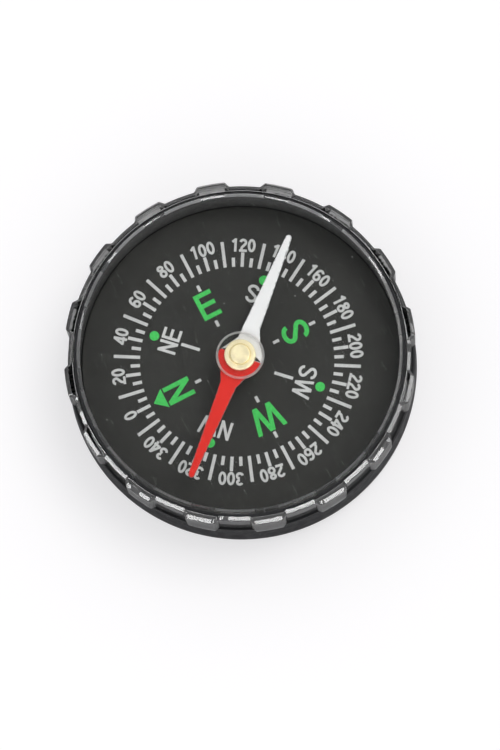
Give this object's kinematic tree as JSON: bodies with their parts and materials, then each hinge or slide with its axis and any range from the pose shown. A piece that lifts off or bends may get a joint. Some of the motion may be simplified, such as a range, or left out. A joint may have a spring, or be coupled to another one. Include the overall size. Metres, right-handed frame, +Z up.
{
  "type": "pocket compass",
  "caption": "Round pocket compass: glossy black cup, clear cover with a lobed grip edge, printed degree dial and a red and white needle on a central point.",
  "frame": {"origin": "middle of the flat underside, on the needle's axis", "axes": "+Z up out of the dial along the needle's axis, +Y towards the dial's north mark, +X towards its east mark"},
  "size_m": [0.045, 0.045, 0.012],
  "materials": {
    "case_plastic": "glossy moulded black with fine scuffs",
    "cover_acrylic": "clear polished acrylic",
    "dial_black": "satin black printed card stock plastic",
    "adhesive": "translucent adhesive film",
    "white_print": "white screen-printed ink",
    "luminous_green": "photoluminescent green ink",
    "brass_turned": "fine turned brass",
    "pin_steel": "hardened and ground",
    "blade_steel": "rolled spring steel, magnetised",
    "red_enamel": "red enamel paint",
    "white_enamel": "white enamel paint",
    "jewel_glass": "polished cup jewel",
    "clear_washer": "clear moulded plastic",
    "cap_brass": "pale satin brass"
  },
  "bodies": {
    "case": {"case_base": "case_plastic", "clear_cover": "cover_acrylic", "dial_plate": "dial_black", "dial_adhesive_ring": "adhesive", "ticks_short": "white_print", "ticks_medium": "white_print", "ticks_long": "white_print", "numerals": "white_print", "cardinal_letters": "luminous_green", "north_arrow": "luminous_green", "intercardinal_letters": "white_print", "cardinal_dashes": "white_print", "intercardinal_lines": "white_print", "luminous_dots": "luminous_green", "pivot_bush": "brass_turned", "pivot_pin": "pin_steel"},
    "needle": {"needle_blade": "blade_steel", "north_paint": "red_enamel", "south_paint": "white_enamel", "needle_hub": "brass_turned", "bearing_jewel": "jewel_glass", "hub_flange": "clear_washer", "hub_cap": "cap_brass"}
  },
  "joints": [
    {"name": "needle_spin", "type": "hinge", "parent": "case", "child": "needle", "pos_m": [0, 0, 0.0092], "axis": [0, 0, 1], "continuous": true}
  ]
}
